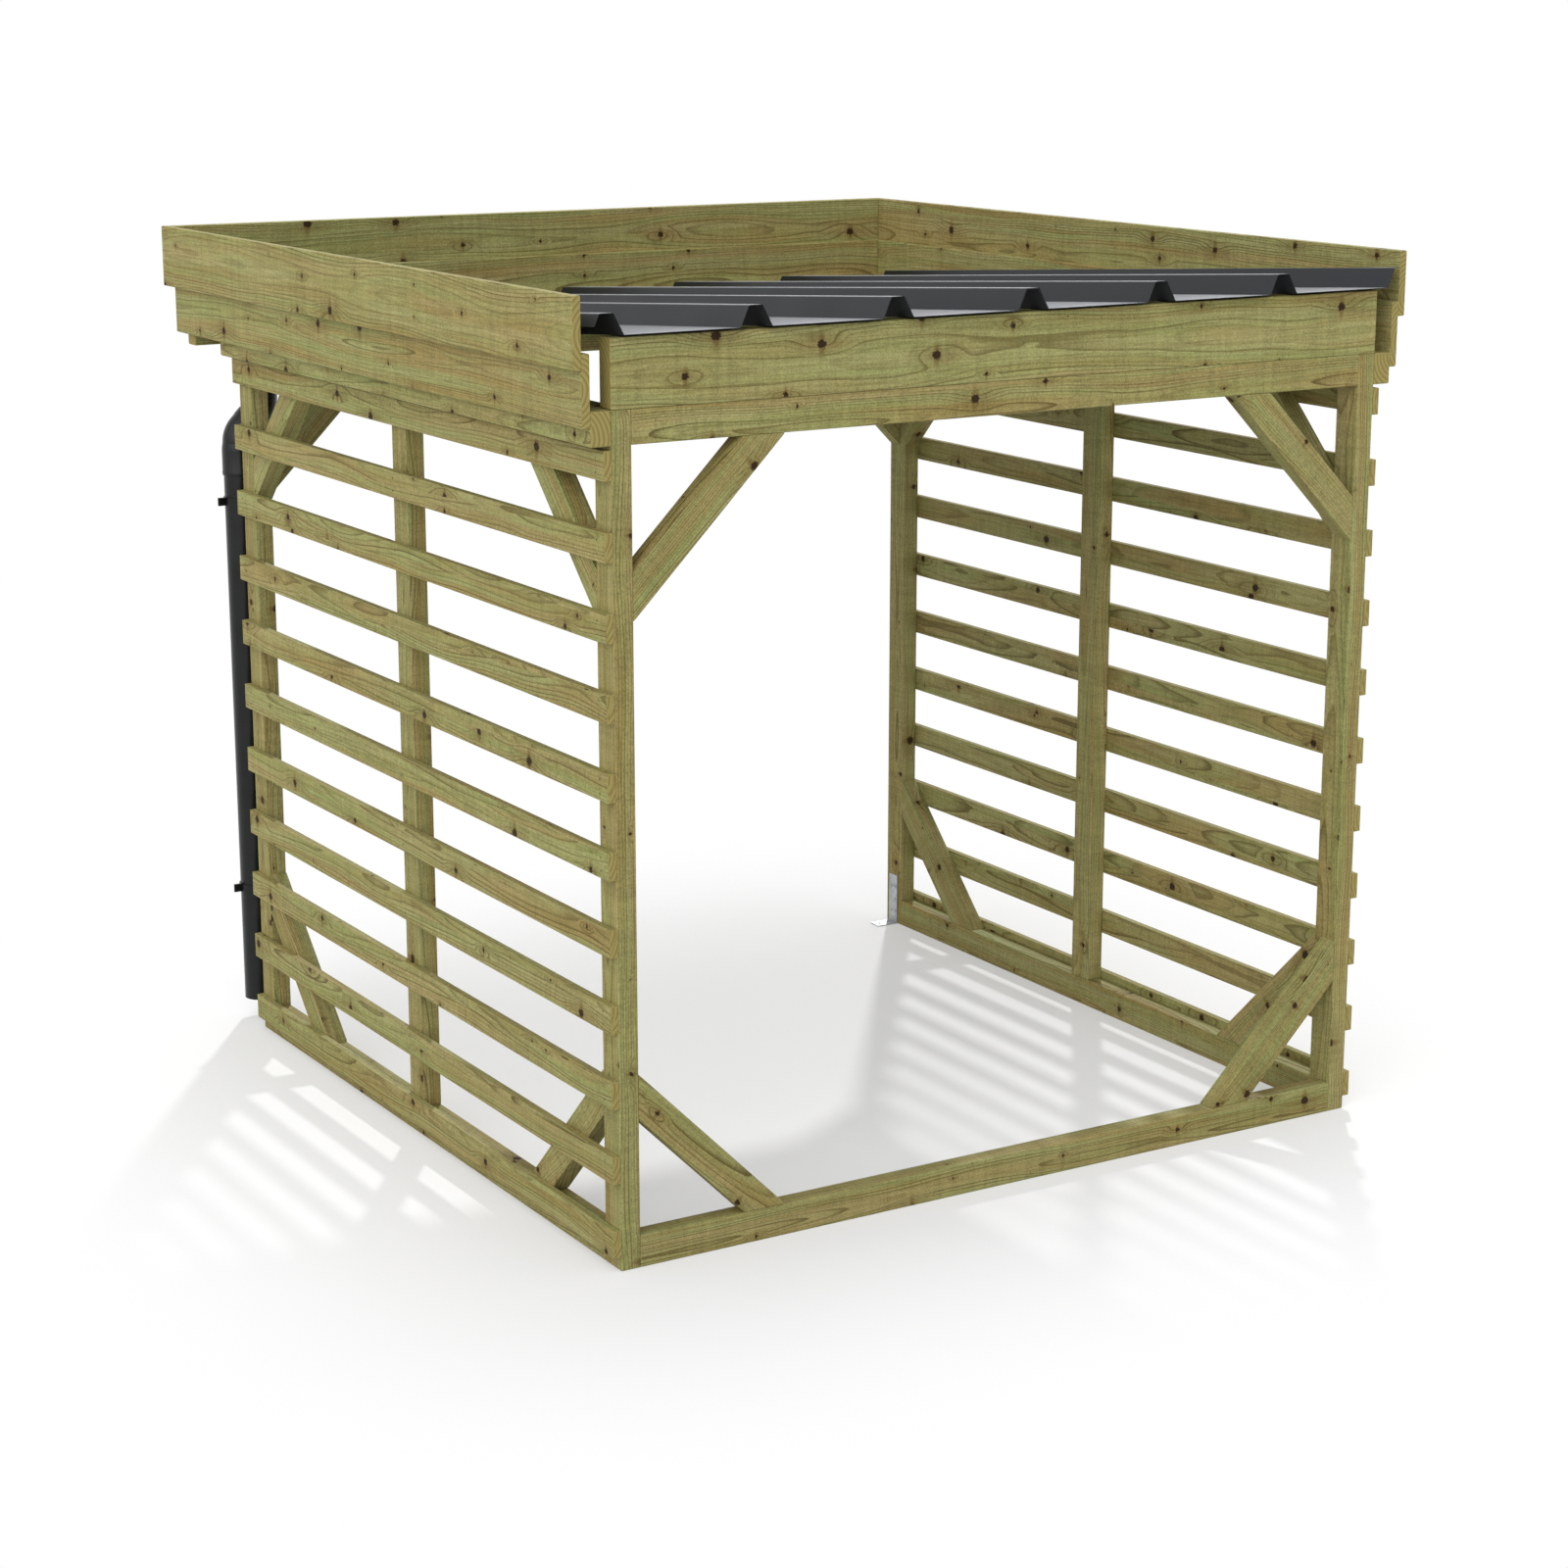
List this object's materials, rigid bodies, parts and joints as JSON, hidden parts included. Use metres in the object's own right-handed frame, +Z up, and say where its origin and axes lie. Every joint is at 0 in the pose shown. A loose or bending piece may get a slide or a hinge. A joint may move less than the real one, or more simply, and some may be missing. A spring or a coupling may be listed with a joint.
{
  "type": "log store",
  "caption": "Open-fronted timber log store with slatted sides, corner braces, a stepped fascia and a ribbed steel roof that drains to a gutter and downpipe at the back.",
  "frame": {"origin": "on the ground, in the middle of the outline's width and depth", "axes": "+X to the right seen from the front, +Y from the open front to the back, +Z up"},
  "size_m": [2.097, 2.185, 2.002],
  "materials": {
    "treated_pine": "planed and pressure treated, green-brown, matte",
    "coated_roof_sheet": "anthracite coil coating, satin",
    "rainwater_plastic": "anthracite extruded plastic, low sheen",
    "galvanised_steel": "hot-dip galvanised, dull"
  },
  "bodies": {
    "root": {"front_left_post": "treated_pine", "front_right_post": "treated_pine", "rear_left_post": "treated_pine", "rear_right_post": "treated_pine", "left_stud": "treated_pine", "right_stud": "treated_pine", "front_sill": "treated_pine", "left_sill": "treated_pine", "right_sill": "treated_pine", "front_plate": "treated_pine", "rear_plate": "treated_pine", "left_plate": "treated_pine", "right_plate": "treated_pine", "left_beam": "treated_pine", "right_beam": "treated_pine", "left_slats": "treated_pine", "right_slats": "treated_pine", "front_left_upper_brace": "treated_pine", "front_right_upper_brace": "treated_pine", "front_left_lower_brace": "treated_pine", "front_right_lower_brace": "treated_pine", "rear_left_upper_brace": "treated_pine", "rear_right_upper_brace": "treated_pine", "left_front_upper_brace": "treated_pine", "left_rear_upper_brace": "treated_pine", "left_front_lower_brace": "treated_pine", "left_rear_lower_brace": "treated_pine", "right_front_upper_brace": "treated_pine", "right_rear_upper_brace": "treated_pine", "right_front_lower_brace": "treated_pine", "right_rear_lower_brace": "treated_pine", "front_roof_beam": "treated_pine", "middle_purlin": "treated_pine", "rear_fascia_beam": "treated_pine", "left_lower_fascia": "treated_pine", "right_lower_fascia": "treated_pine", "rear_lower_fascia": "treated_pine", "left_upper_fascia": "treated_pine", "right_upper_fascia": "treated_pine", "rear_upper_fascia": "treated_pine", "left_roof_sheet": "coated_roof_sheet", "right_roof_sheet": "coated_roof_sheet", "gutter": "rainwater_plastic", "gutter_ends": "rainwater_plastic", "gutter_brackets": "rainwater_plastic", "gutter_outlet": "rainwater_plastic", "upper_elbow": "rainwater_plastic", "neck_pipe": "rainwater_plastic", "lower_elbow": "rainwater_plastic", "downpipe": "rainwater_plastic", "pipe_clips": "rainwater_plastic", "left_angle_bracket": "galvanised_steel", "right_angle_bracket": "galvanised_steel"}
  },
  "joints": []
}
